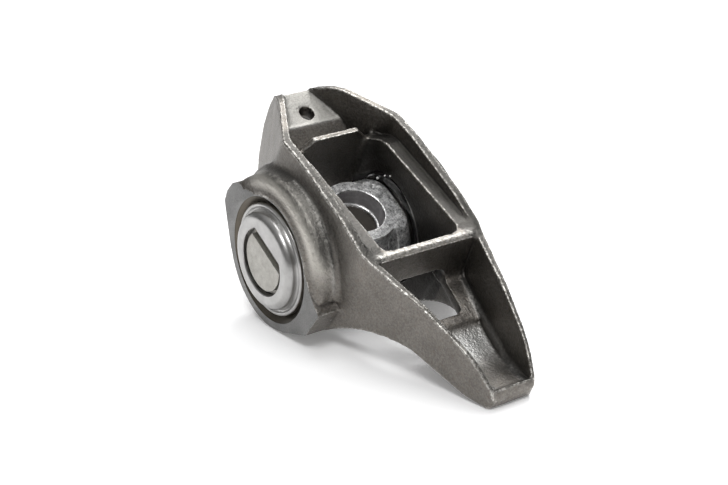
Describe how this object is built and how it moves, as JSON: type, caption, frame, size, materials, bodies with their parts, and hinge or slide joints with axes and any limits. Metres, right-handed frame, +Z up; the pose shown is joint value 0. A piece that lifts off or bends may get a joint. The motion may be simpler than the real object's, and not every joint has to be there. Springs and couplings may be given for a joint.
{
  "type": "rocker arm",
  "caption": "Cast rocker arm with an open window, on a trunnion that turns in two pressed needle bearings; lifts a valve from a pushrod.",
  "frame": {"origin": "pivot centre, midway between the two bearings, on the axis of the trunnion's bolt hole", "axes": "+Z up from the bench that the arm lies on, +Y along the pivot, +X toward the valve end; the rim is tipped nose-down by 29.2 degrees"},
  "size_m": [0.0699, 0.0376, 0.0384],
  "materials": {
    "cast_steel": "fine cast skin with a worn satin sheen",
    "trunnion_steel": "oily sintered grey, machined ends",
    "cup_steel": "drawn and polished",
    "needle_steel": "ground"
  },
  "bodies": {
    "arm": {"rocker_body": "cast_steel", "bearing_cup_near": "cup_steel", "bearing_cup_far": "cup_steel"},
    "trunnion": {"trunnion": "trunnion_steel"},
    "needles_near": {"needle_near_1": "needle_steel", "needle_near_2": "needle_steel", "needle_near_3": "needle_steel", "needle_near_4": "needle_steel", "needle_near_5": "needle_steel", "needle_near_6": "needle_steel", "needle_near_7": "needle_steel", "needle_near_8": "needle_steel", "needle_near_9": "needle_steel", "needle_near_10": "needle_steel", "needle_near_11": "needle_steel", "needle_near_12": "needle_steel", "needle_near_13": "needle_steel", "needle_near_14": "needle_steel", "needle_near_15": "needle_steel", "needle_near_16": "needle_steel", "needle_near_17": "needle_steel", "needle_near_18": "needle_steel", "needle_near_19": "needle_steel", "needle_near_20": "needle_steel", "needle_near_21": "needle_steel"},
    "needles_far": {"needle_far_1": "needle_steel", "needle_far_2": "needle_steel", "needle_far_3": "needle_steel", "needle_far_4": "needle_steel", "needle_far_5": "needle_steel", "needle_far_6": "needle_steel", "needle_far_7": "needle_steel", "needle_far_8": "needle_steel", "needle_far_9": "needle_steel", "needle_far_10": "needle_steel", "needle_far_11": "needle_steel", "needle_far_12": "needle_steel", "needle_far_13": "needle_steel", "needle_far_14": "needle_steel", "needle_far_15": "needle_steel", "needle_far_16": "needle_steel", "needle_far_17": "needle_steel", "needle_far_18": "needle_steel", "needle_far_19": "needle_steel", "needle_far_20": "needle_steel", "needle_far_21": "needle_steel"}
  },
  "joints": [
    {"name": "trunnion_swing", "type": "hinge", "parent": "arm", "child": "trunnion", "pos_m": [0, 0, 0], "axis": [0, 1, 0], "range_deg": [-30, 30]},
    {"name": "needle_orbit_near", "type": "hinge", "parent": "arm", "child": "needles_near", "pos_m": [0, -0.01275, 0], "axis": [0, 1, 0], "range_deg": [-13.1, 13.1]},
    {"name": "needle_orbit_far", "type": "hinge", "parent": "arm", "child": "needles_far", "pos_m": [0, 0.01275, 0], "axis": [0, 1, 0], "range_deg": [-13.1, 13.1]}
  ],
  "couplings": [
    {"joint": "needle_orbit_near", "follows": "trunnion_swing", "ratio": 0.4261},
    {"joint": "needle_orbit_far", "follows": "trunnion_swing", "ratio": 0.4261}
  ]
}
